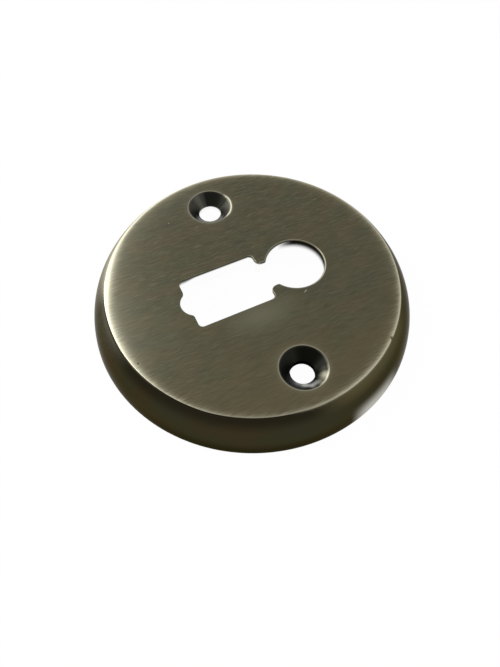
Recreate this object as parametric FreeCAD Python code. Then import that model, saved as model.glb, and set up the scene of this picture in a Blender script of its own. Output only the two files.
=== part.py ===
import FreeCAD, Part
import math
import os

# A round keyhole escutcheon for a key-operated lock: one hollow-backed brass
# disc. All sizes are millimetres. The back rim lies on z = 0, the flat face
# looks along +Z, the two screws sit on the X axis and the round part of the
# keyhole points along +Y.

# Screw holes, countersunk from the face
screw_spacing = 38.0
screw_hole_diameter = 4.2
countersink_diameter = 7.8
countersink_angle = 90.0
countersink_edge_break = 0.15

# Disc: a flat face, and a convex side that meets the door nearly square
screw_to_face_edge = 6.8
side_flare = 3.25
height = 7.2
side_radius = 12.0
face_edge_round = 0.5
foot_chamfer = 0.3

# Hollow back, cast with draft, so that only the rim touches the door
plate_thickness = 3.0
rim_width = 2.0
recess_draft = 18.0
recess_corner_round = 1.0

# Keyhole: a round for the key's barrel, a slot for its bit, and a wider window
# cut over the slot, which leaves two small ears below the round. The ears' undersides
# are rounded over the given share of the room that they have
barrel_diameter = 10.6
barrel_offset = 8.5
slot_width = 5.4
slot_end_past_window = 1.4
ear_height = 1.8
ear_corner_round = 0.4
ear_underside_share = 0.85
window_width = 10.2
window_length = 14.2
window_corner_round = 0.8
step_corner_round = 0.8
keyhole_edge_break = 0.2

# How far the cutting tools stand above the face that they cut
cut_margin = 1.0

# How near two coordinates must be to count as the same
tolerance = 1e-3

# Places that follow from the sizes
face_radius = screw_spacing / 2 + screw_to_face_edge
foot_radius = face_radius + side_flare
ceiling = height - plate_thickness
tool_height = height + cut_margin
half_slot = slot_width / 2
barrel_meets_slot_y = barrel_offset - math.sqrt((barrel_diameter / 2) ** 2 - half_slot ** 2)
window_top_y = barrel_meets_slot_y - ear_height
window_bottom_y = window_top_y - window_length
slot_end_centre_y = window_bottom_y - slot_end_past_window + half_slot
ear_room_across = window_width / 2 - half_slot - window_corner_round
ear_room_along = ear_height - ear_corner_round
ear_underside_round = ear_underside_share * min(ear_room_across, ear_room_along)

axis_z = FreeCAD.Vector(0, 0, 1)
origin = FreeCAD.Vector(0, 0, 0)


def section_point(radius, z):
    """A point of the turned section, which is drawn in the XZ plane."""
    return FreeCAD.Vector(radius, 0, z)


def side_centre():
    """Centre of the side's arc, which runs from the foot to the face's edge."""
    foot = section_point(foot_radius, 0)
    top = section_point(face_radius, height)
    chord = top - foot
    inward = section_point(-chord.z, chord.x).normalize()
    to_centre = math.sqrt(side_radius ** 2 - (chord.Length / 2) ** 2)
    return (foot + top) / 2 + inward * to_centre


def arc(centre, start, end):
    """The short arc from start to end round a centre."""
    middle = (start - centre).normalize() + (end - centre).normalize()
    through = centre + middle.normalize() * (start - centre).Length
    return Part.Arc(start, through, end).toShape()


def line(start, end):
    return Part.LineSegment(start, end).toShape()


def turned_disc():
    """The disc without its hollow and holes, turned from one closed section."""
    centre = side_centre()
    crown = section_point(0, height)

    edge_z = height - face_edge_round
    edge_reach = math.sqrt((side_radius - face_edge_round) ** 2 - (edge_z - centre.z) ** 2)
    edge_centre = section_point(centre.x + edge_reach, edge_z)
    edge_start = section_point(edge_centre.x, height)
    edge_end = centre + (edge_centre - centre).normalize() * side_radius

    foot_reach = math.sqrt(side_radius ** 2 - (foot_chamfer - centre.z) ** 2)
    foot_start = section_point(centre.x + foot_reach, foot_chamfer)
    foot_end = section_point(foot_start.x - foot_chamfer, 0)

    section = Part.Wire([
        line(crown, edge_start),
        arc(edge_centre, edge_start, edge_end),
        arc(centre, edge_end, foot_start),
        line(foot_start, foot_end),
        line(foot_end, origin),
        line(origin, crown),
    ])
    return Part.Face(section).revolve(origin, axis_z, 360)


def recess_cutter():
    """The hollow in the back: a drafted pocket with a rounded inside corner."""
    mouth_radius = foot_radius - rim_width
    ceiling_radius = mouth_radius - ceiling * math.tan(math.radians(recess_draft))
    pocket = Part.makeCone(mouth_radius, ceiling_radius, ceiling)
    return pocket.makeFillet(recess_corner_round, edges_at_height(pocket, ceiling))


def edges_at_height(shape, z):
    """The edges that lie wholly in the plane at height z."""
    found = []
    for edge in shape.Edges:
        box = edge.BoundBox
        if abs(box.ZMin - z) < tolerance and abs(box.ZMax - z) < tolerance:
            found.append(edge)
    return found


def screw_cutter(x):
    """A through hole and its countersink, standing on the X axis."""
    hole_radius = screw_hole_diameter / 2
    rim_radius = countersink_diameter / 2
    slope = math.tan(math.radians(countersink_angle / 2))
    depth = (rim_radius - hole_radius) / slope
    hole = Part.makeCylinder(hole_radius, tool_height, FreeCAD.Vector(x, 0, 0), axis_z)
    cone_foot = FreeCAD.Vector(x, 0, height - depth)
    cone_top_radius = rim_radius + cut_margin * slope
    cone = Part.makeCone(hole_radius, cone_top_radius, depth + cut_margin, cone_foot, axis_z)
    return hole.fuse(cone)


def upright_edges(tool):
    """The edges of a straight cutting tool that run along Z."""
    found = []
    for edge in tool.Edges:
        box = edge.BoundBox
        if box.XLength < tolerance and box.YLength < tolerance:
            found.append(edge)
    return found


def slot_corners(tool, y):
    """The keyhole tool's upright edges at y where the slot runs into another shape."""
    found = []
    for edge in upright_edges(tool):
        place = edge.BoundBox.Center
        if abs(place.x) < half_slot + tolerance and abs(place.y - y) < tolerance:
            found.append(edge)
    return found


def keyhole_cutter():
    """The round, the slot with its full-round end, and the window, as one tool."""
    barrel_place = FreeCAD.Vector(0, barrel_offset, 0)
    barrel = Part.makeCylinder(barrel_diameter / 2, tool_height, barrel_place, axis_z)

    slot_place = FreeCAD.Vector(-half_slot, slot_end_centre_y, 0)
    slot_length = barrel_offset - slot_end_centre_y
    slot = Part.makeBox(slot_width, slot_length, tool_height, slot_place)
    slot_end_place = FreeCAD.Vector(0, slot_end_centre_y, 0)
    slot_end = Part.makeCylinder(half_slot, tool_height, slot_end_place, axis_z)

    window_place = FreeCAD.Vector(-window_width / 2, window_bottom_y, 0)
    window = Part.makeBox(window_width, window_length, tool_height, window_place)
    window = window.makeFillet(window_corner_round, upright_edges(window))

    tool = barrel.multiFuse([slot, slot_end, window]).removeSplitter()
    tool = tool.makeFillet(ear_corner_round, slot_corners(tool, barrel_meets_slot_y))
    tool = tool.makeFillet(ear_underside_round, slot_corners(tool, window_top_y))
    return tool.makeFillet(step_corner_round, slot_corners(tool, window_bottom_y))


def cut_with_broken_edge(body, cutter, edge_break):
    """Cuts a hole and breaks the sharp edge that it leaves in the face."""
    body = body.cut(cutter)
    reach = cutter.BoundBox
    reach.enlarge(cut_margin)
    rim = [edge for edge in edges_at_height(body, height) if reach.isInside(edge.BoundBox)]
    return body.makeChamfer(edge_break, rim)


def escutcheon():
    """The finished piece: the hollow disc, its keyhole and its countersunk screw holes."""
    body = turned_disc().cut(recess_cutter())
    body = cut_with_broken_edge(body, keyhole_cutter(), keyhole_edge_break)
    for side in (-1, 1):
        cutter = screw_cutter(side * screw_spacing / 2)
        body = cut_with_broken_edge(body, cutter, countersink_edge_break)
    return body


os.makedirs("parts", exist_ok=True)
escutcheon().exportStep("parts/escutcheon.step")
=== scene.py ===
import bpy
import bmesh
import math
from mathutils import Matrix, Vector


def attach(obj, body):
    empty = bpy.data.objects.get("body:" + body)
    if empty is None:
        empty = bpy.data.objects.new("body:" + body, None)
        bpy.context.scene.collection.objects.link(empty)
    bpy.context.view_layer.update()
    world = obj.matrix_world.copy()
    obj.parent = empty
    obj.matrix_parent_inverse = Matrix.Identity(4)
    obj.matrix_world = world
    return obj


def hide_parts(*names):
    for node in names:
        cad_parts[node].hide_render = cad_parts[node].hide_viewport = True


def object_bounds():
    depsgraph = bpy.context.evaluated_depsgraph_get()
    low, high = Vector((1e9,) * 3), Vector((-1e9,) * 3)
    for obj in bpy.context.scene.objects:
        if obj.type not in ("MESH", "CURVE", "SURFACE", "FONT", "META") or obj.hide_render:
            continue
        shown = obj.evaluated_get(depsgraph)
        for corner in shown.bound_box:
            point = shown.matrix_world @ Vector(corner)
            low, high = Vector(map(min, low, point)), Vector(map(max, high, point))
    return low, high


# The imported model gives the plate's height. The real piece is one brass
# casting, so one dressed piece stands for the whole of it.
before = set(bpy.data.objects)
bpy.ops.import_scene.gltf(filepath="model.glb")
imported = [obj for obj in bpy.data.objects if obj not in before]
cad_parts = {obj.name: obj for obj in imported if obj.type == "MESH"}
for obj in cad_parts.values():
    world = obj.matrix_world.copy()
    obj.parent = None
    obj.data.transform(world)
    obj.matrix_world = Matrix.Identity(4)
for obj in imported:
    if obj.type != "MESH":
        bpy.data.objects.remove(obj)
cad_low, cad_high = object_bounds()


# The plate: a hollow-backed disc of cast brass, turned on its side and face.
# The face rolls off softly into the convex side, because the finish is buffed.
# It lies on its back rim and nothing else is fixed to it.
mm = 0.001
height = cad_high.z
face_radius = 25.8 * mm
foot_radius = 29.05 * mm
side_radius = 12.0 * mm
face_edge_round = 0.5 * mm
foot_chamfer = 0.1 * mm
plate_thickness = 3.0 * mm
rim_width = 2.0 * mm
recess_draft = math.radians(18.0)
recess_corner_round = 1.0 * mm
ceiling = height - plate_thickness
flat_ring = 0.06 * mm
round_steps = 8
side_steps = 24
turn_steps = 640
brushed, turned, countersunk, broached, cast = range(5)


def draw_line(mesh, vert, x, y, z):
    """Draws a straight edge from a vertex and returns the new end."""
    end = bmesh.ops.extrude_vert_indiv(mesh, verts=[vert])["verts"][0]
    end.co = (x, y, z)
    return end


def draw_arc(mesh, vert, centre, axis, angle, steps):
    """Draws an arc from a vertex round a centre and returns the new end."""
    drawn = bmesh.ops.spin(mesh, geom=[vert], cent=centre, axis=axis, angle=angle, steps=steps)
    return [part for part in drawn["geom_last"] if isinstance(part, bmesh.types.BMVert)][0]


def side_centre():
    """Centre of the arc that runs from the foot to the face's edge."""
    foot = Vector((foot_radius, 0, 0))
    top = Vector((face_radius, 0, height))
    chord = top - foot
    inward = Vector((-chord.z, 0, chord.x)).normalized()
    return (foot + top) / 2 + inward * math.sqrt(side_radius ** 2 - (chord.length / 2) ** 2)


def angle_round(centre, point):
    """The angle of a point of the section, seen from a centre, above the horizon."""
    return math.atan2(point.z - centre.z, point.x - centre.x)


def draw_section(mesh):
    """The turned section, from the face's edge down the side and up into the recess."""
    round_axis = (0, 1, 0)
    centre = side_centre()
    edge_z = height - face_edge_round
    edge_reach = math.sqrt((side_radius - face_edge_round) ** 2 - (edge_z - centre.z) ** 2)
    edge_centre = Vector((centre.x + edge_reach, 0, edge_z))
    edge_lean = angle_round(centre, edge_centre)
    foot_reach = math.sqrt(side_radius ** 2 - (foot_chamfer - centre.z) ** 2)
    foot_top = Vector((centre.x + foot_reach, 0, foot_chamfer))
    foot_lean = angle_round(centre, foot_top)

    pen = mesh.verts.new((edge_centre.x - flat_ring, 0, height))
    pen = draw_line(mesh, pen, edge_centre.x, 0, height)
    pen = draw_arc(mesh, pen, edge_centre, round_axis, math.pi / 2 - edge_lean, round_steps)
    pen = draw_arc(mesh, pen, centre, round_axis, edge_lean - foot_lean, side_steps)
    pen = draw_line(mesh, pen, foot_top.x - foot_chamfer, 0, 0)
    mouth = foot_radius - rim_width
    pen = draw_line(mesh, pen, mouth, 0, 0)

    wall_lean = math.pi / 2 - recess_draft
    corner_z = ceiling - recess_corner_round
    wall_drop = recess_corner_round * math.sin(recess_draft)
    wall_x = mouth - (corner_z + wall_drop) * math.tan(recess_draft)
    corner = Vector((wall_x - recess_corner_round * math.cos(recess_draft), 0, corner_z))
    pen = draw_line(mesh, pen, wall_x, 0, corner_z + wall_drop)
    pen = draw_arc(mesh, pen, corner, round_axis, -wall_lean, round_steps)
    draw_line(mesh, pen, pen.co.x - flat_ring, 0, ceiling)


plate_mesh = bmesh.new()
draw_section(plate_mesh)
bmesh.ops.spin(
    plate_mesh,
    geom=plate_mesh.verts[:] + plate_mesh.edges[:],
    cent=(0, 0, 0),
    axis=(0, 0, 1),
    angle=math.tau,
    steps=turn_steps,
    use_merge=True,
)

# Each band of the section gets its finish: the face and the upper half of its
# edge are brushed, the side is turned, and the rim and the recess are cast.
edge_lean = angle_round(side_centre(), Vector((face_radius, 0, height)))
side_top = height - face_edge_round * (1 - math.sin(edge_lean))
for face in plate_mesh.faces:
    middle = face.calc_center_median()
    reach = math.hypot(middle.x, middle.y)
    recess_wall = foot_radius - rim_width - middle.z * math.tan(recess_draft)
    above_rim = middle.z > foot_chamfer / 4
    outside = reach > recess_wall + rim_width / 4
    if middle.z > side_top:
        face.material_index = brushed
    elif above_rim and outside:
        face.material_index = turned
    else:
        face.material_index = cast


# The screw holes: two 4.2 mm holes, countersunk from the face for wood screws,
# with the sharp edge taken off by the buffing.
screw_spacing = 38.0 * mm
screw_hole_radius = 2.1 * mm
countersink_radius = 3.9 * mm
countersink_break = 0.15 * mm
countersink_slope = math.pi / 4
countersink_edge_steps = 4
hole_steps = 128


def sink(mesh, face, inward, down):
    """Draws a ring inside a flat face: so far inward and so far down."""
    bmesh.ops.inset_region(
        mesh,
        faces=[face],
        thickness=inward,
        depth=-down,
        use_boundary=True,
        use_even_offset=True,
    )


def sink_round(mesh, face, radius, steps, end=math.pi / 2):
    """Rolls the rim of a hole over, from level down to the given slope."""
    for step in range(steps):
        before, after = end * step / steps, end * (step + 1) / steps
        inward = radius * (math.sin(after) - math.sin(before))
        down = radius * (math.cos(before) - math.cos(after))
        sink(mesh, face, inward, down)


def face_up(face):
    """Turns a flat face so that it looks out of the plate."""
    face.normal_update()
    if face.normal.z < 0:
        face.normal_flip()


def open_wall(mesh, face, floor_z):
    """Opens a hole and carries its wall straight down to the ceiling of the recess."""
    rim, finish = face.edges[:], face.material_index
    bmesh.ops.delete(mesh, geom=[face], context="FACES_ONLY")
    for part in bmesh.ops.extrude_edge_only(mesh, edges=rim)["geom"]:
        if isinstance(part, bmesh.types.BMVert):
            part.co.z = floor_z
        if isinstance(part, bmesh.types.BMFace):
            part.material_index = finish


def cut_screw_hole(mesh, x):
    """One countersunk hole, from its rim in the face down to the recess."""
    roll = countersink_break / math.tan(countersink_slope / 2)
    top_radius = countersink_radius + countersink_break
    cone_radius = top_radius - roll * math.sin(countersink_slope)
    made = bmesh.ops.create_circle(
        mesh,
        cap_ends=True,
        segments=hole_steps,
        radius=top_radius + flat_ring,
        matrix=Matrix.Translation((x, 0, height)),
    )
    face = made["verts"][0].link_faces[0]
    face_up(face)
    sink(mesh, face, flat_ring, 0)
    face.material_index = countersunk
    sink_round(mesh, face, roll, countersink_edge_steps, end=countersink_slope)
    inward = cone_radius - screw_hole_radius
    sink(mesh, face, inward, inward * math.tan(countersink_slope))
    open_wall(mesh, face, ceiling)


for side in (-1, 1):
    cut_screw_hole(plate_mesh, side * screw_spacing / 2)


# The keyhole: a round for the key's barrel, a slot for its bit and a wider
# window over the slot, broached through the plate. Its edges are buffed soft.
barrel_radius = 5.3 * mm
barrel_offset = 8.5 * mm
half_slot = 2.7 * mm
slot_end_past_window = 1.4 * mm
ear_height = 1.8 * mm
ear_corner_round = 0.4 * mm
ear_underside_round = 1.19 * mm
half_window = 5.1 * mm
window_length = 14.2 * mm
window_corner_round = 0.8 * mm
step_corner_round = 0.8 * mm
keyhole_edge_round = 0.16 * mm
keyhole_edge_steps = 6
barrel_steps = 60
ear_steps = 6
underside_steps = 12
corner_steps = 8
slot_end_steps = 16
same_place = 1e-7

barrel_meets_slot = barrel_offset - math.sqrt(barrel_radius ** 2 - half_slot ** 2)
window_top = barrel_meets_slot - ear_height
window_bottom = window_top - window_length
slot_end = window_bottom - slot_end_past_window + half_slot


def draw_half_keyhole(mesh, grow):
    """The right half of the keyhole's outline, grown all round by a width."""
    up = (0, 0, 1)
    quarter = math.pi / 2
    barrel_reach = barrel_radius + grow
    slot_x = half_slot + grow
    ear_round, under_round = ear_corner_round - grow, ear_underside_round - grow
    window_x, window_round = half_window + grow, window_corner_round + grow
    top, bottom = window_top + grow, window_bottom - grow
    end_round, step_round = half_slot + grow, step_corner_round - grow

    ear_x = slot_x + ear_round
    ear_drop = math.sqrt((barrel_reach + ear_round) ** 2 - ear_x ** 2)
    ear_angle = math.atan2(ear_x, ear_drop)
    step_y = bottom - step_round
    step_x = math.sqrt((end_round + step_round) ** 2 - (slot_end - step_y) ** 2)
    step_angle = math.atan2(step_x, slot_end - step_y)
    corner_x = window_x - window_round
    upper_ear = (ear_x, barrel_offset - ear_drop, height)
    under_ear = (slot_x + under_round, top + under_round, height)
    top_corner = (corner_x, top - window_round, height)
    bottom_corner = (corner_x, bottom + window_round, height)

    pen = mesh.verts.new((0, barrel_offset + barrel_reach, height))
    barrel_centre = (0, barrel_offset, height)
    pen = draw_arc(mesh, pen, barrel_centre, up, ear_angle - math.pi, barrel_steps)
    pen = draw_arc(mesh, pen, upper_ear, up, quarter - ear_angle, ear_steps)
    pen = draw_line(mesh, pen, slot_x, top + under_round, height)
    pen = draw_arc(mesh, pen, under_ear, up, quarter, underside_steps)
    pen = draw_line(mesh, pen, corner_x, top, height)
    pen = draw_arc(mesh, pen, top_corner, up, -quarter, corner_steps)
    pen = draw_line(mesh, pen, window_x, bottom + window_round, height)
    pen = draw_arc(mesh, pen, bottom_corner, up, -quarter, corner_steps)
    pen = draw_line(mesh, pen, step_x, bottom, height)
    pen = draw_arc(mesh, pen, (step_x, step_y, height), up, step_angle, corner_steps)
    draw_arc(mesh, pen, (0, slot_end, height), up, -step_angle, slot_end_steps)


def cut_keyhole(mesh):
    """The whole keyhole, from its rim in the face down to the recess."""
    others = set(mesh.verts)
    draw_half_keyhole(mesh, keyhole_edge_round + flat_ring)
    half = [vert for vert in mesh.verts if vert not in others]
    lines = list({edge for vert in half for edge in vert.link_edges})
    bmesh.ops.mirror(mesh, geom=half + lines, axis="X", merge_dist=same_place)
    whole = [vert for vert in mesh.verts if vert not in others]
    outline = list({edge for vert in whole for edge in vert.link_edges})
    face = bmesh.ops.contextual_create(mesh, geom=outline)["faces"][0]
    face_up(face)
    sink(mesh, face, flat_ring, 0)
    sink_round(mesh, face, keyhole_edge_round, keyhole_edge_steps)
    face.material_index = broached
    open_wall(mesh, face, ceiling)


cut_keyhole(plate_mesh)


# The marks of use: a pit in the face near its edge, a short scratch beside the
# keyhole's round, and a small dent where the rim has been knocked.
pit_place = Vector((7.04, -23.68)) * mm
pit_radius = 0.18 * mm
pit_depth = 0.08 * mm
scratch_place = Vector((6.12, 7.3)) * mm
scratch_half_length = 0.4 * mm
scratch_half_width = 0.09 * mm
scratch_depth = 0.04 * mm
scratch_turn = math.radians(124)
dent_angle = math.radians(37.6)
dent_half_length = 0.42 * mm
dent_half_width = 0.4 * mm
dent_depth = 0.2 * mm
mark_steps = 24


def cut_mark(mesh, place, half_length, half_width, depth, turn):
    """A shallow closed hollow in the face, longer one way than the other."""
    stretch = Matrix.Diagonal((half_length, half_width, 1, 1))
    placed = Matrix.Translation((place.x, place.y, height)) @ Matrix.Rotation(turn, 4, "Z")
    made = bmesh.ops.create_circle(
        mesh, cap_ends=True, segments=mark_steps, radius=1, matrix=placed @ stretch
    )
    face = made["verts"][0].link_faces[0]
    face_up(face)
    face.material_index = brushed
    sink(mesh, face, half_width / 10, 0)
    for share_of_depth in (0.25, 0.5, 0.25):
        sink(mesh, face, half_width / 4, depth * share_of_depth)


cut_mark(plate_mesh, pit_place, pit_radius, pit_radius, pit_depth, 0)
cut_mark(
    plate_mesh,
    scratch_place,
    scratch_half_length,
    scratch_half_width,
    scratch_depth,
    scratch_turn,
)

dent_outward = Vector((math.cos(dent_angle), math.sin(dent_angle), 0))
dent_sideways = Vector((-dent_outward.y, dent_outward.x, 0))
dent_middle = dent_outward * face_radius + Vector((0, 0, side_top))
for vert in plate_mesh.verts:
    away = vert.co - dent_middle
    sideways = away.dot(dent_sideways)
    across = (away - dent_sideways * sideways).length
    spread = (sideways / dent_half_length) ** 2 + (across / dent_half_width) ** 2
    vert.co -= dent_outward * dent_depth * math.exp(-spread)


# The flat face and the ceiling of the recess close the plate between its
# turned section and the holes. Then the plate is one piece on the root body.
crease_angle = math.radians(30)


def close_level(mesh, z, finish):
    """Fills between the open rings that lie at one height."""
    open_rings = []
    for edge in mesh.edges:
        level = all(abs(vert.co.z - z) < same_place for vert in edge.verts)
        if level and len(edge.link_faces) == 1:
            open_rings.append(edge)
    filled = bmesh.ops.triangle_fill(
        mesh, use_beauty=True, use_dissolve=False, edges=open_rings
    )
    for part in filled["geom"]:
        if isinstance(part, bmesh.types.BMFace):
            part.material_index = finish


close_level(plate_mesh, height, brushed)
close_level(plate_mesh, ceiling, cast)
bmesh.ops.recalc_face_normals(plate_mesh, faces=plate_mesh.faces)

plate_data = bpy.data.meshes.new("plate")
plate_mesh.to_mesh(plate_data)
plate_mesh.free()
plate_data.polygons.foreach_set("use_smooth", [True] * len(plate_data.polygons))
plate_data.set_sharp_from_angle(angle=crease_angle)
plate = bpy.data.objects.new("plate", plate_data)
bpy.context.scene.collection.objects.link(plate)
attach(plate, "root")
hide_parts("escutcheon")


# The finish: a dark antique patina over the brass, brushed lengthways on the
# face and rubbed through to bright metal along the edges, which also carries a
# painted highlight. These are the parts of it that the surfaces share.
def srgb(red, green, blue):
    """A colour as linear light, from the 0 to 255 values of a screen."""
    levels = [value / 255 for value in (red, green, blue)]
    return [v / 12.92 if v <= 0.04045 else ((v + 0.055) / 1.055) ** 2.4 for v in levels] + [1]


def feed(tree, value, socket):
    """Sets a socket to a plain value, or links another node's output to it."""
    if isinstance(value, bpy.types.NodeSocket):
        tree.links.new(value, socket)
    else:
        socket.default_value = value


def calc(tree, operation, *values):
    """One step of arithmetic on numbers that change over the surface."""
    node = tree.nodes.new("ShaderNodeMath")
    node.operation = operation
    for socket, value in zip(node.inputs, values):
        feed(tree, value, socket)
    return node.outputs[0]


def plus(tree, first, second):
    """The sum of two numbers."""
    return calc(tree, "ADD", first, second)


def minus(tree, first, second):
    """The first number less the second."""
    return calc(tree, "SUBTRACT", first, second)


def times(tree, first, second):
    """The product of two numbers."""
    return calc(tree, "MULTIPLY", first, second)


def lift(tree, low, share, rise):
    """A number that is low where the share is 0, and higher by the rise where it is 1."""
    return plus(tree, low, times(tree, share, rise))


def rest_of(tree, share):
    """What a share leaves of the whole."""
    return minus(tree, 1, share)


def fading(tree, distance, reach):
    """1 at no distance, about a third at the reach, and nothing far away."""
    return calc(tree, "EXPONENT", times(tree, calc(tree, "DIVIDE", distance, reach), -1))


def hypot(tree, a, b):
    """The length of a slanted line from its two straight parts."""
    return calc(tree, "SQRT", plus(tree, times(tree, a, a), times(tree, b, b)))


def ramp(tree, value, low, high):
    """Rises softly from 0 at low to 1 at high, or falls where high is the lower."""
    node = tree.nodes.new("ShaderNodeMapRange")
    node.interpolation_type = "SMOOTHSTEP"
    for socket, number in zip(node.inputs, (value, low, high)):
        feed(tree, number, socket)
    return node.outputs[0]


def noise(tree, position, size, detail=2.0):
    """Soft random values, with grains of the given size in x, y and z."""
    scaled = tree.nodes.new("ShaderNodeVectorMath")
    scaled.operation = "DIVIDE"
    feed(tree, position, scaled.inputs[0])
    grain = tree.nodes.new("ShaderNodeCombineXYZ")
    for socket, value in zip(grain.inputs, size):
        feed(tree, value, socket)
    tree.links.new(grain.outputs[0], scaled.inputs[1])
    node = tree.nodes.new("ShaderNodeTexNoise")
    node.inputs["Scale"].default_value = 1.0
    node.inputs["Detail"].default_value = detail
    tree.links.new(scaled.outputs[0], node.inputs["Vector"])
    return node.outputs["Fac"]


def mix(tree, share, first, second):
    """A colour between two others."""
    node = tree.nodes.new("ShaderNodeMix")
    node.data_type = "RGBA"
    feed(tree, share, node.inputs["Factor"])
    colours = [socket for socket in node.inputs if socket.type == "RGBA"]
    feed(tree, first, colours[0])
    feed(tree, second, colours[1])
    return [socket for socket in node.outputs if socket.type == "RGBA"][0]


def split(tree, position):
    """The x, y and z of a position."""
    node = tree.nodes.new("ShaderNodeSeparateXYZ")
    feed(tree, position, node.inputs[0])
    return node.outputs


def spot(tree, x, y, place, reach):
    """A soft round spot on the surface: 1 in its middle and 0 at its reach."""
    return ramp(tree, hypot(tree, minus(tree, x, place[0]), minus(tree, y, place[1])), reach, 0)


def facing(tree, x, y, turn):
    """1 in one direction from the middle, 0 square to it and -1 on the other side."""
    angle = math.radians(turn)
    along = plus(tree, times(tree, x, math.cos(angle)), times(tree, y, math.sin(angle)))
    return calc(tree, "DIVIDE", along, hypot(tree, x, y))


def towards(tree, x, y, turn, outer, inner):
    """Rises from 0 to 1 towards a direction in degrees, between two values of facing."""
    return ramp(tree, facing(tree, x, y, turn), outer, inner)


def from_screw_hole(tree, x):
    """How far along x a place lies from its screw hole, and 1 if that is the left one."""
    past_hole = minus(tree, calc(tree, "ABSOLUTE", x), screw_spacing / 2)
    left_hole = calc(tree, "LESS_THAN", x, 0)
    return times(tree, past_hole, calc(tree, "SIGN", x)), left_hole


def new_group(name, numbers, results):
    """An empty node group that takes a position and some numbers."""
    tree = bpy.data.node_groups.new(name, "ShaderNodeTree")
    tree.interface.new_socket("Position", in_out="INPUT", socket_type="NodeSocketVector")
    for label in numbers:
        tree.interface.new_socket(label, in_out="INPUT", socket_type="NodeSocketFloat")
    for label in results:
        tree.interface.new_socket(label, in_out="OUTPUT", socket_type="NodeSocketFloat")
    given = tree.nodes.new("NodeGroupInput").outputs
    result = tree.nodes.new("NodeGroupOutput").inputs
    return tree, given, result


def use_group(tree, group, position, **numbers):
    """Places a group in a material and returns its outputs."""
    node = tree.nodes.new("ShaderNodeGroup")
    node.node_tree = group
    feed(tree, position, node.inputs["Position"])
    for label, value in numbers.items():
        feed(tree, value, node.inputs[label])
    return node.outputs


def keyhole_distance_group():
    """How far a place lies outside the keyhole's edge."""
    tree, given, result = new_group("distance_to_keyhole", [], ["Distance"])
    x, y, _ = split(tree, given["Position"])
    x = calc(tree, "ABSOLUTE", x)
    to_barrel = minus(tree, hypot(tree, x, minus(tree, y, barrel_offset)), barrel_radius)
    on_slot = calc(tree, "MINIMUM", calc(tree, "MAXIMUM", y, slot_end), barrel_offset)
    to_slot = minus(tree, hypot(tree, x, minus(tree, y, on_slot)), half_slot)

    window_middle = (window_top + window_bottom) / 2
    off_middle = calc(tree, "ABSOLUTE", minus(tree, y, window_middle))
    past_side = minus(tree, x, half_window - window_corner_round)
    past_end = minus(tree, off_middle, window_length / 2 - window_corner_round)
    past_both = calc(tree, "MAXIMUM", past_side, 0), calc(tree, "MAXIMUM", past_end, 0)
    inside = calc(tree, "MINIMUM", calc(tree, "MAXIMUM", past_side, past_end), 0)
    from_corner = plus(tree, hypot(tree, *past_both), inside)
    to_window = minus(tree, from_corner, window_corner_round)

    nearest = calc(tree, "MINIMUM", calc(tree, "MINIMUM", to_barrel, to_slot), to_window)
    tree.links.new(nearest, result["Distance"])
    return tree


def brush_group():
    """The fine lines that a wire brush leaves along the plate, not quite straight."""
    wander_size = (2.5 * mm, 4 * mm, 2.5 * mm)
    wander_reach = 1.2 * mm
    tree, given, result = new_group("brush_lines", ["Across", "Along"], ["Lines"])
    wander = noise(tree, given["Position"], wander_size)
    shift = tree.nodes.new("ShaderNodeCombineXYZ")
    feed(tree, times(tree, wander, wander_reach), shift.inputs[0])
    shifted = tree.nodes.new("ShaderNodeVectorMath")
    feed(tree, given["Position"], shifted.inputs[0])
    feed(tree, shift.outputs[0], shifted.inputs[1])
    line_size = (given["Across"], given["Along"], given["Across"])
    grain = noise(tree, shifted.outputs[0], line_size, detail=4.0)
    tree.links.new(ramp(tree, grain, 0.3, 0.7), result["Lines"])
    return tree


def patina_group():
    """The soft clouds of an uneven patina, longer along the plate."""
    stretch = 1.8
    tree, given, result = new_group("patina_clouds", ["Size"], ["Clouds"])
    size = given["Size"]
    cloud = noise(tree, given["Position"], (size, times(tree, size, stretch), size), detail=3.0)
    tree.links.new(ramp(tree, cloud, 0.35, 0.65), result["Clouds"])
    return tree


def edge_wear_and_highlight_group():
    """How bright an edge is, as bare metal with a painted highlight: most at the edge, and
    fading away from it.
    """
    tree, given, result = new_group("edge_wear_and_highlight", ["Distance", "Reach", "Lines"], ["Rubbed"])
    uneven = lift(tree, 0.6, given["Lines"], 0.8)
    away = calc(tree, "ABSOLUTE", given["Distance"])
    rubbed = fading(tree, away, times(tree, given["Reach"], uneven))
    tree.links.new(rubbed, result["Rubbed"])
    return tree


def screw_rim_group():
    """The bright ring on a countersink's edge: bare metal with a painted highlight, strongest
    where the light catches it.
    """
    ring_radius = countersink_radius + 0.16 * mm
    halo_reach = 0.5 * mm
    tree, given, result = new_group("screw_rim_wear_and_highlight", [], ["Ring", "Halo"])
    x, y, _ = split(tree, given["Position"])
    off_hole, left_hole = from_screw_hole(tree, x)
    left_arc = times(tree, towards(tree, off_hole, y, 70, 0.66, 0.95), left_hole)
    short_arc = calc(tree, "POWER", calc(tree, "MAXIMUM", facing(tree, off_hole, y, 43), 0), 14)
    right_arc = times(tree, short_arc, rest_of(tree, left_hole))

    ring_middle = lift(tree, ring_radius, left_arc, 0.1 * mm)
    off_ring = calc(tree, "ABSOLUTE", minus(tree, hypot(tree, off_hole, y), ring_middle))
    width = lift(tree, 0.065 * mm, left_arc, 0.01 * mm)
    strength = lift(tree, lift(tree, 0.24, left_arc, 2), right_arc, 1.1)
    ring = calc(tree, "MINIMUM", times(tree, fading(tree, off_ring, width), strength), 1)
    tree.links.new(ring, result["Ring"])
    # The halo is a painted glow round the ring.
    halo = times(tree, fading(tree, off_ring, halo_reach), 0.045)
    tree.links.new(halo, result["Halo"])
    return tree


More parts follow.
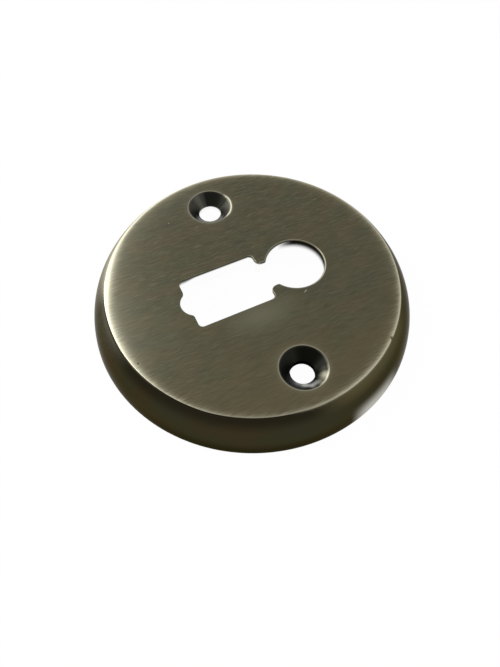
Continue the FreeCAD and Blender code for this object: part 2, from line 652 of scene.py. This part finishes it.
def keyhole_rim_group():
    """The bright line on the keyhole's edge, round the barrel's hole and over the ears: bare
    metal with a painted highlight, strongest where the light catches it.
    """
    line_reach = 0.045 * mm
    tree, given, result = new_group("keyhole_rim_wear_and_highlight", [], ["Rubbed"])
    x, y, _ = split(tree, given["Position"])
    away = use_group(tree, keyhole_distance, given["Position"])["Distance"]
    off_line = calc(tree, "ABSOLUTE", minus(tree, away, keyhole_edge_round))
    painted_highlight_side = towards(tree, x, minus(tree, y, barrel_offset), 60, 0.55, 1)
    above_window = ramp(tree, y, window_top - 1 * mm, window_top + 0.4 * mm)
    strength = times(tree, lift(tree, 0.24, painted_highlight_side, 0.76), lift(tree, 0.15, above_window, 0.85))
    rubbed = times(tree, fading(tree, off_line, line_reach), strength)
    tree.links.new(rubbed, result["Rubbed"])
    return tree


keyhole_distance = keyhole_distance_group()
brush_lines = brush_group()
patina_clouds = patina_group()
edge_wear_and_highlight = edge_wear_and_highlight_group()
worn_lit_screw_rim = screw_rim_group()
worn_lit_keyhole_rim = keyhole_rim_group()
# Bare brass, lightened towards white by a painted highlight.
bare_brass_and_highlight = srgb(238, 234, 208)


def lines_of(tree, position, across, along):
    """Brush lines of a width and length."""
    return use_group(tree, brush_lines, position, Across=across, Along=along)["Lines"]


def clouds_of(tree, position, size):
    """Clouds of patina of a size."""
    return use_group(tree, patina_clouds, position, Size=size)["Clouds"]


def worn_lit_from(tree, position, distance, reach, lines):
    """Bare metal with a painted highlight along an edge, which fades with the distance from it.
    """
    sizes = {"Distance": distance, "Reach": reach, "Lines": lines}
    return use_group(tree, edge_wear_and_highlight, position, **sizes)["Rubbed"]


def new_finish(name, metallic, roughness):
    """An empty material for one surface: its nodes, its shader and its position."""
    material = bpy.data.materials.new(name)
    material.use_nodes = True
    tree = material.node_tree
    shader = tree.nodes["Principled BSDF"].inputs
    shader["Metallic"].default_value = metallic
    shader["Roughness"].default_value = roughness
    plate_data.materials.append(material)
    return tree, shader, tree.nodes.new("ShaderNodeTexCoord").outputs["Object"]


def bump(tree, shader, height_field, depth):
    """Raises the surface by a pattern of the given depth."""
    node = tree.nodes.new("ShaderNodeBump")
    node.inputs["Strength"].default_value = 1.0
    node.inputs["Distance"].default_value = depth
    tree.links.new(height_field, node.inputs["Height"])
    tree.links.new(node.outputs["Normal"], shader["Normal"])


# The face: brushed along the keyhole, olive-brown, with the patina rubbed thin
# all round its edge and right through where the brush ran off it.
tree, shader, position = new_finish("brushed_face", 1.0, 0.42)
x, y, _ = split(tree, position)
fine_lines = lines_of(tree, position, 0.12 * mm, 2.6 * mm)
broad_lines = lines_of(tree, position, 0.35 * mm, 7 * mm)
long_scratches = lines_of(tree, position, 0.17 * mm, 1.7 * mm)
clouds = clouds_of(tree, position, 3.4 * mm)
patina = mix(tree, clouds, srgb(66, 66, 52), srgb(74, 68, 52))
patina = mix(tree, times(tree, broad_lines, 0.12), patina, srgb(108, 104, 84))
patina = mix(tree, times(tree, fine_lines, 0.34), patina, srgb(105, 101, 82))
scratched = lift(tree, 0.07, ramp(tree, x, 6 * mm, -12 * mm), 0.09)
scratched = times(tree, ramp(tree, long_scratches, 0.7, 1), scratched)
patina = mix(tree, scratched, patina, srgb(140, 136, 112))

# The patina is warmer at the right, and paler in a long patch near the slot.
pale_place = Vector((7.2, -1.6)) * mm
pale_reach = 4.6 * mm
pale_stretch = 2
warm = times(tree, ramp(tree, x, 10 * mm, 22 * mm), 0.4)
patina = mix(tree, warm, patina, srgb(90, 81, 58))
shrunk_y = times(tree, y, 1 / pale_stretch)
shrunk_place = (pale_place.x, pale_place.y / pale_stretch)
pale = spot(tree, x, shrunk_y, shrunk_place, pale_reach)
patina = mix(tree, times(tree, pale, 0.85), patina, srgb(99, 97, 80))

# The end of the face below the slot is worn bare and carries a painted
# highlight, most where x is -10.5 mm, and thinned further in. Distances run
# along the brush lines, from that end.
worst_x = -10.5 * mm
worst_reach = 5 * mm
thinned_reach = 4.5 * mm
inside_chord = calc(tree, "MAXIMUM", minus(tree, face_radius ** 2, times(tree, x, x)), 0)
from_near_end = plus(tree, calc(tree, "SQRT", inside_chord), y)
off_worst = calc(tree, "DIVIDE", minus(tree, x, worst_x), worst_reach)
worst = calc(tree, "EXPONENT", times(tree, times(tree, off_worst, off_worst), -1))
bare_width = lift(tree, 0.3 * mm, worst, 0.4 * mm)
past_bare = calc(tree, "MAXIMUM", minus(tree, from_near_end, bare_width), 0)
ragged = lift(tree, 0.8, fine_lines, 0.4)
bare_reach = lift(tree, 0.5 * mm, ramp(tree, x, -15 * mm, -20 * mm), -0.2 * mm)
worn_and_lit_end = fading(tree, past_bare, times(tree, ragged, bare_reach))
thinned_end = fading(tree, from_near_end, thinned_reach)
wear_and_highlight = plus(tree, times(tree, worn_and_lit_end, 0.85), times(tree, thinned_end, 0.115))
wear_and_highlight = times(tree, wear_and_highlight, ramp(tree, x, 15 * mm, -4 * mm))

# The whole rim is rubbed and carries a painted highlight on its rounded
# edge: more at the far left and at the near end, and less at the near right.
from_rim = minus(tree, face_radius, hypot(tree, x, y))
rim_share = lift(tree, 0.36, ramp(tree, y, -12 * mm, 4 * mm), 0.12)
rim_share = lift(tree, rim_share, ramp(tree, x, -19 * mm, -24 * mm), 0.08)
rim_share = lift(tree, rim_share, towards(tree, x, y, -72, 0.9, 0.98), 0.4)
quiet = towards(tree, x, y, -18, 0.85, 0.98)
rim_share = times(tree, rim_share, lift(tree, 1, quiet, -0.35))
rim_wear_and_highlight = worn_lit_from(tree, position, from_rim, 0.27 * mm, fine_lines)
wear_and_highlight = plus(tree, wear_and_highlight, times(tree, rim_wear_and_highlight, rim_share))
# A paler band inside the rim, of thinned patina and a painted sheen, except towards the near
# right.
thin_rim_and_sheen = fading(tree, from_rim, 0.8 * mm)
thin_rim_and_sheen = times(tree, thin_rim_and_sheen, towards(tree, x, y, -20, 0.9, 0.6))
patina = mix(tree, times(tree, thin_rim_and_sheen, 0.075), patina, srgb(236, 224, 176))

# On the near side the round below the rim is painted dark as shade, up to its top edge.
dark_reach = lift(tree, 0.02 * mm, towards(tree, x, y, -74, 0.82, 0.985), 0.16 * mm)
painted_shade_on_round = ramp(tree, from_rim, dark_reach, minus(tree, dark_reach, 0.08 * mm))
painted_shade_on_round = times(tree, painted_shade_on_round, towards(tree, x, y, -58, 0.56, 0.72))
wear_and_highlight = times(tree, calc(tree, "MINIMUM", wear_and_highlight, 1), rest_of(tree, painted_shade_on_round))

# The holes' edges, with painted highlights on them, the scratch and a speck near the left screw
# hole are bright.
speck_place = Vector((-18.39, -8.61)) * mm
speck_reach = 0.16 * mm
worn_lit_screw_marks = use_group(tree, worn_lit_screw_rim, position)
wear_and_highlight = plus(tree, wear_and_highlight, plus(tree, worn_lit_screw_marks["Ring"], worn_lit_screw_marks["Halo"]))
wear_and_highlight = plus(tree, wear_and_highlight, use_group(tree, worn_lit_keyhole_rim, position)["Rubbed"])
scratch_x, scratch_y = math.cos(scratch_turn), math.sin(scratch_turn)
from_x = minus(tree, x, scratch_place.x)
from_y = minus(tree, y, scratch_place.y)
lengthways = plus(tree, times(tree, from_x, scratch_x), times(tree, from_y, scratch_y))
crossways = minus(tree, times(tree, from_y, scratch_x), times(tree, from_x, scratch_y))
lengthways = calc(tree, "DIVIDE", lengthways, scratch_half_length)
crossways = calc(tree, "DIVIDE", crossways, scratch_half_width)
on_scratch = ramp(tree, hypot(tree, lengthways, crossways), 1.3, 0.5)
wear_and_highlight = lift(tree, wear_and_highlight, on_scratch, 0.35)
wear_and_highlight = lift(tree, wear_and_highlight, spot(tree, x, y, speck_place, speck_reach), 0.3)
colour = mix(tree, calc(tree, "MINIMUM", wear_and_highlight, 1), patina, bare_brass_and_highlight)
# Painted shade on the near side of the round.
colour = mix(tree, times(tree, painted_shade_on_round, 0.9), colour, srgb(14, 13, 9))

# Dirt fills the pit and the dent.
pit = spot(tree, x, y, pit_place, 1.5 * pit_radius)
dent = spot(tree, x, y, dent_middle, dent_half_length)
dirt = calc(tree, "MAXIMUM", times(tree, pit, 0.85), dent)
feed(tree, mix(tree, dirt, colour, srgb(22, 20, 14)), shader["Base Color"])
bump(tree, shader, fine_lines, 0.002 * mm)


# The side: turned smooth and left under its full dark patina, and rubbed,
# with a painted highlight, only where the plate is most worn. Painted shade
# darkens it just below the face's edge, and painted light lightens it there
# towards 35 degrees. It is also darker towards the foot.
tree, shader, position = new_finish("dark_side", 1.0, 0.3)
shader["Specular Tint"].default_value = (0.55, 0.53, 0.48, 1)
x, y, z = split(tree, position)
clouds = clouds_of(tree, position, 5 * mm)
patina = mix(tree, clouds, srgb(51, 50, 34), srgb(56, 48, 32))
# Painted shade just below the face's edge, and painted light on it towards 35 degrees.
below_rim = ramp(tree, z, 4.6 * mm, 6.8 * mm)
painted_light = towards(tree, x, y, 35, 0.75, 0.95)
painted_shade = times(tree, rest_of(tree, painted_light), 0.8)
patina = mix(tree, times(tree, below_rim, painted_shade), patina, srgb(30, 26, 18))
painted_light = times(tree, times(tree, below_rim, painted_light), 0.6)
patina = mix(tree, painted_light, patina, srgb(92, 87, 60))
# Darker towards the foot.
near_foot = ramp(tree, z, 3 * mm, 0.5 * mm)
patina = mix(tree, times(tree, near_foot, 0.8), patina, srgb(28, 25, 16))
# A painted highlight low on the side, towards 21 degrees.
painted_foot_highlight = ramp(tree, z, 4.1 * mm, 0.6 * mm)
painted_foot_highlight = times(tree, towards(tree, x, y, 21, 0.975, 1), painted_foot_highlight)
patina = mix(tree, painted_foot_highlight, patina, srgb(214, 213, 207))
# Painted shade on the far end of the side, towards 68 degrees.
painted_shade_far_end = ramp(tree, z, 2.6 * mm, 4.2 * mm)
painted_shade_far_end = times(tree, towards(tree, x, y, 68, 0.9, 0.98), painted_shade_far_end)
patina = mix(tree, times(tree, painted_shade_far_end, 0.55), patina, srgb(24, 22, 14))

# Wear with a painted highlight below the face's edge: how far down it fades,
# its direction in degrees, the values of facing between which it sets in, and
# its share.
side_wear_and_highlight = [
    (0.1 * mm, -58, 0.72, 0.5, 0.1),
    (2.5 * mm, -143, 0.76, 0.97, 0.7),
    (1.3 * mm, -112, 0.78, 0.98, 0.13),
]
lines = lines_of(tree, position, 0.3 * mm, 0.3 * mm)
from_top = minus(tree, side_top, z)
wear_and_highlight = 0
for reach, turn, outer, inner, share in side_wear_and_highlight:
    worn_lit_band = worn_lit_from(tree, position, from_top, reach, lines)
    worn_lit_band = times(tree, worn_lit_band, towards(tree, x, y, turn, outer, inner))
    wear_and_highlight = lift(tree, wear_and_highlight, worn_lit_band, share)
feed(tree, mix(tree, wear_and_highlight, patina, bare_brass_and_highlight), shader["Base Color"])


# The screw holes: drilled and countersunk, then blackened with the rest. Painted
# shade darkens each cone on the side away from the light, and painted light
# brightens the rest. Screws have rubbed the rims, which also carry a painted
# highlight. The right cone has painted highlights and painted reflections, its
# bore is painted black as shade, and the left bore is white lower down.
tree, shader, position = new_finish("countersinks", 1.0, 0.32)
shader["Specular IOR Level"].default_value = 0
x, y, z = split(tree, position)
off_hole, left_hole = from_screw_hole(tree, x)
white_metal = srgb(255, 255, 255)
lit_cone = srgb(220, 218, 205)
# Painted shade and painted light on the cones: each is darker on the side away from the light,
# and the left cone is lighter towards its right and its far left.
left_shade = towards(tree, off_hole, y, 143, 0.6, 0.72)
left_tone = mix(tree, left_shade, srgb(57, 56, 49), srgb(26, 26, 23))
up_cone = ramp(tree, hypot(tree, off_hole, y), 2.3 * mm, 3.6 * mm)
lit_right = times(tree, towards(tree, off_hole, y, 50, 0.72, 0.97), up_cone)
left_tone = mix(tree, times(tree, lit_right, 0.14), left_tone, lit_cone)
lit_left = towards(tree, off_hole, y, -165, 0.9, 1)
left_tone = mix(tree, times(tree, lit_left, 0.05), left_tone, lit_cone)
right_shade = towards(tree, off_hole, y, 135, 0.6, 0.95)
right_tone = mix(tree, right_shade, srgb(31, 31, 28), srgb(15, 15, 12))
colour = mix(tree, left_hole, right_tone, left_tone)

# Painted highlights and grey painted reflections on the right cone: the x and y
# of each spot, its reach, all in millimetres, and its share.
highlight_spots = [
    (21.55, 2.35, 1.25, 0.85),
    (22.3, 1.3, 1.0, 0.4),
    (20.5, 2.95, 1.0, 0.05),
]
reflection_spots = [
    (22.1, -0.1, 1.1, 0.85),
    (21.35, -1.0, 1.1, 1.0),
    (20.6, -1.85, 0.7, 0.5),
    (21.9, 0.9, 1.0, 0.6),
]


def with_spots(tree, x, y, start, spots):
    """A share, raised by soft round spots and at most 1."""
    total = start
    for place_x, place_y, reach, share in spots:
        near = spot(tree, x, y, (place_x * mm, place_y * mm), reach * mm)
        total = lift(tree, total, near, share)
    return calc(tree, "MINIMUM", total, 1)


ring = use_group(tree, worn_lit_screw_rim, position)["Ring"]
# Grey painted reflections, laid as matt spots, and painted highlights over the ring.
painted_reflection = with_spots(tree, x, y, 0, reflection_spots)
colour = mix(tree, with_spots(tree, x, y, ring, highlight_spots), colour, bare_brass_and_highlight)
colour = mix(tree, painted_reflection, colour, srgb(176, 176, 172))
# The left bore is white metal lower down.
white_bore = times(tree, ramp(tree, z, 5.1 * mm, 4.85 * mm), left_hole)
colour = mix(tree, white_bore, colour, white_metal)
# The right bore is painted black as shade, and is matt there and under the painted reflections.
painted_shade_bore = times(tree, ramp(tree, z, 5.45 * mm, 5.35 * mm), rest_of(tree, left_hole))
feed(tree, mix(tree, painted_shade_bore, colour, srgb(12, 12, 9)), shader["Base Color"])
painted_shade_and_reflection = calc(tree, "MAXIMUM", painted_shade_bore, painted_reflection)
feed(tree, rest_of(tree, painted_shade_and_reflection), shader["Metallic"])


# The keyhole's walls: broached after the patina, so that they show bright
# metal below a dark fringe. The far side of the round is painted dark as shade,
# fading out downwards, and the fringe reaches further down at the window's
# lower-left corner.
tree, shader, position = new_finish("keyhole_walls", 1.0, 0.12)
shader["Specular IOR Level"].default_value = 0
x, y, z = split(tree, position)
depth = minus(tree, height, z)
# Painted shade on the far side of the round.
far_side = towards(tree, x, minus(tree, y, barrel_offset), 115, 0.2, 0.75)
far_side = times(tree, far_side, ramp(tree, y, barrel_meets_slot, barrel_offset))
shadow = times(tree, far_side, ramp(tree, depth, 2.35 * mm, 0.75 * mm))
left_corner = ramp(tree, x, -3.2 * mm, -4.6 * mm)
left_corner = times(tree, ramp(tree, y, -8.5 * mm, -11 * mm), left_corner)
fringe_end = lift(tree, 0.65 * mm, left_corner, 0.7 * mm)
fringe = ramp(tree, depth, fringe_end, 0.25 * mm)
tone = mix(tree, far_side, srgb(56, 54, 43), srgb(14, 13, 10))
colour = mix(tree, calc(tree, "MAXIMUM", shadow, fringe), white_metal, tone)
line = use_group(tree, worn_lit_keyhole_rim, position)["Rubbed"]
feed(tree, mix(tree, line, colour, bare_brass_and_highlight), shader["Base Color"])
below_edge = ramp(tree, depth, 0, 0.1 * mm)
blackest = times(tree, ramp(tree, depth, 1.5 * mm, 0.9 * mm), below_edge)
feed(tree, rest_of(tree, times(tree, blackest, far_side)), shader["Metallic"])


# The back: the plain casting, dull and brown, which never shows on the door.
tree, shader, position = new_finish("cast_back", 1.0, 0.55)
clouds = clouds_of(tree, position, 4 * mm)
feed(tree, mix(tree, clouds, srgb(78, 68, 46), srgb(96, 84, 58)), shader["Base Color"])
grain = noise(tree, position, [0.25 * mm] * 3)
bump(tree, shader, grain, 0.02 * mm)


# The studio: a plain pale floor under the piece, white to the camera and in
# reflections, and a plain even light with one soft lamp on the left.
floor_reach = 3.0
floor_gap = 0.02 * mm
floor_mesh = bmesh.new()
bmesh.ops.create_grid(floor_mesh, x_segments=1, y_segments=1, size=floor_reach)
floor_data = bpy.data.meshes.new("floor")
floor_mesh.to_mesh(floor_data)
floor_mesh.free()
floor = bpy.data.objects.new("floor", floor_data)
floor.location.z = -floor_gap
bpy.context.scene.collection.objects.link(floor)


def shown_white(tree):
    """1 where the camera, a reflection or glass looks straight at it, and 0 for its light."""
    path = tree.nodes.new("ShaderNodeLightPath").outputs
    looked_at = calc(tree, "MAXIMUM", path["Is Camera Ray"], path["Is Glossy Ray"])
    return calc(tree, "MAXIMUM", looked_at, path["Is Transmission Ray"])


# The rest of the white share is matt paper, which takes the object's shadow.
white_share = 0.98
paper = bpy.data.materials.new("pale_floor")
paper.use_nodes = True
tree = paper.node_tree
tree.nodes.clear()
out = tree.nodes.new("ShaderNodeOutputMaterial")
white = tree.nodes.new("ShaderNodeEmission")
matt = tree.nodes.new("ShaderNodeBsdfDiffuse")
matt.inputs["Color"].default_value = (0.85, 0.85, 0.85, 1)
blend = tree.nodes.new("ShaderNodeMixShader")
feed(tree, times(tree, shown_white(tree), white_share), blend.inputs[0])
tree.links.new(matt.outputs[0], blend.inputs[1])
tree.links.new(white.outputs[0], blend.inputs[2])
tree.links.new(blend.outputs[0], out.inputs["Surface"])
floor_data.materials.append(paper)

room_light = 0.7
world = bpy.data.worlds.new("studio")
bpy.context.scene.world = world
world.use_nodes = True
tree = world.node_tree
room = tree.nodes["Background"].inputs
room["Color"].default_value = (1, 1, 1, 1)
feed(tree, lift(tree, room_light, shown_white(tree), 1 - room_light), room["Strength"])

lamp_place = Vector((-0.20, -0.26, 0.30))
lamp_width = 0.25
lamp_power = 1.4
lamp_data = bpy.data.lights.new("left_lamp", "AREA")
lamp_data.size = lamp_width
lamp_data.energy = lamp_power
lamp = bpy.data.objects.new("left_lamp", lamp_data)
lamp_turn = (-lamp_place).to_track_quat("-Z", "Y").to_matrix().to_4x4()
lamp.matrix_world = Matrix.Translation(lamp_place) @ lamp_turn
bpy.context.scene.collection.objects.link(lamp)


# The camera: above the piece and to the right of the slot's end, as in the
# photograph.
view_target = Vector((9.694, -5.082, 7.2)) * mm
view_azimuth = math.radians(64.184)
view_elevation = math.radians(59.761)
view_distance = 91.30 * mm
view_roll = math.radians(0.374)
view_lens = 29.738
view_sensor = 36.0
view_nearest = 5 * mm

to_camera = Vector((
    math.sin(view_azimuth) * math.cos(view_elevation),
    -math.cos(view_azimuth) * math.cos(view_elevation),
    math.sin(view_elevation),
))
camera_data = bpy.data.cameras.new("camera")
camera_data.lens = view_lens
camera_data.sensor_width = view_sensor
camera_data.clip_start = view_nearest
camera = bpy.data.objects.new("camera", camera_data)
camera_place = Matrix.Translation(view_target + to_camera * view_distance)
camera_turn = (-to_camera).to_track_quat("-Z", "Y").to_matrix().to_4x4()
camera.matrix_world = camera_place @ camera_turn @ Matrix.Rotation(view_roll, 4, "Z")
bpy.context.scene.collection.objects.link(camera)
bpy.context.scene.camera = camera
bpy.context.scene.view_settings.view_transform = "Standard"
